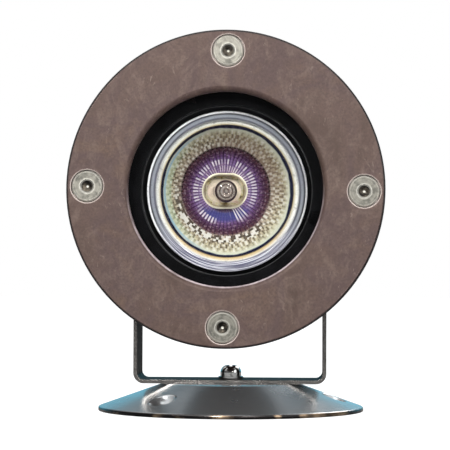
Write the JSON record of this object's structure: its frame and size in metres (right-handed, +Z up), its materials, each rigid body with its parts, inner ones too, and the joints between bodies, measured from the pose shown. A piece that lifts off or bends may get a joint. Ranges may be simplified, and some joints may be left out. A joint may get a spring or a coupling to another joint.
{
  "type": "underwater pond light",
  "caption": "Round brass lamp head with a flat glass and a reflector lamp, tilting in a steel U-yoke that swivels on a dished steel base.",
  "frame": {"origin": "on the mounting plane under the base, on the base's axis, which is also the centre of the circle of mounting holes", "axes": "+Z up, away from the mounting surface; the light leaves the head towards -Y; +X is to the right seen from in front"},
  "size_m": [0.098, 0.096, 0.1195],
  "materials": {
    "weathered_brass": "sand-cast brass, dark bronze patina, satin",
    "stainless_brushed": "brushed stainless strip",
    "stainless_polished": "spun and polished stainless sheet",
    "stainless_turned": "turned stainless fasteners",
    "clear_glass": "clear toughened glass",
    "dichroic_glass": "faceted glass with a dichroic coating",
    "quartz": "clear quartz",
    "tungsten": "coiled tungsten wire",
    "black_rubber": "moulded rubber, matt",
    "lamp_ceramic": "unglazed ceramic",
    "holder_ceramic": "steatite",
    "plated_pins": "nickel-plated pins",
    "plain_brass": "bright brass",
    "zinc_steel": "zinc-plated steel",
    "white_sleeve": "glass-fibre sleeved wire",
    "tinned_copper": "tinned copper splice",
    "white_nylon": "natural nylon"
  },
  "bodies": {
    "base": {"base_plate": "stainless_polished", "base_screw": "stainless_turned", "base_lock_washer": "stainless_turned", "base_flat_washer": "stainless_turned", "base_under_washer": "stainless_turned", "base_nut": "stainless_turned"},
    "yoke": {"yoke": "stainless_brushed"},
    "head": {"face_ring": "weathered_brass", "housing": "weathered_brass", "face_screws": "stainless_turned", "front_gasket": "black_rubber", "lens": "clear_glass", "rear_gasket": "black_rubber", "lamp_reflector": "dichroic_glass", "lamp_front_glass": "clear_glass", "lamp_capsule": "quartz", "lamp_filament": "tungsten", "lamp_base": "lamp_ceramic", "lamp_pins": "plated_pins", "lampholder": "holder_ceramic", "lampholder_contacts": "plain_brass", "lampholder_strap": "zinc_steel", "strap_screws": "zinc_steel", "leads": "white_sleeve", "crimp_splices": "tinned_copper", "gland_body": "plain_brass", "gland_washer": "black_rubber", "gland_seal": "black_rubber", "gland_nut": "plain_brass", "pivot_screws": "stainless_turned", "pivot_lock_washers": "stainless_turned", "pivot_spacers": "white_nylon"}
  },
  "joints": [
    {"name": "yoke_swivel", "type": "hinge", "parent": "base", "child": "yoke", "pos_m": [0, 0, 0.009], "axis": [0, 0, 1], "continuous": true},
    {"name": "head_tilt", "type": "hinge", "parent": "yoke", "child": "head", "pos_m": [0, 0, 0.0705], "axis": [-1, 0, 0], "range_deg": [-20, 90]}
  ]
}
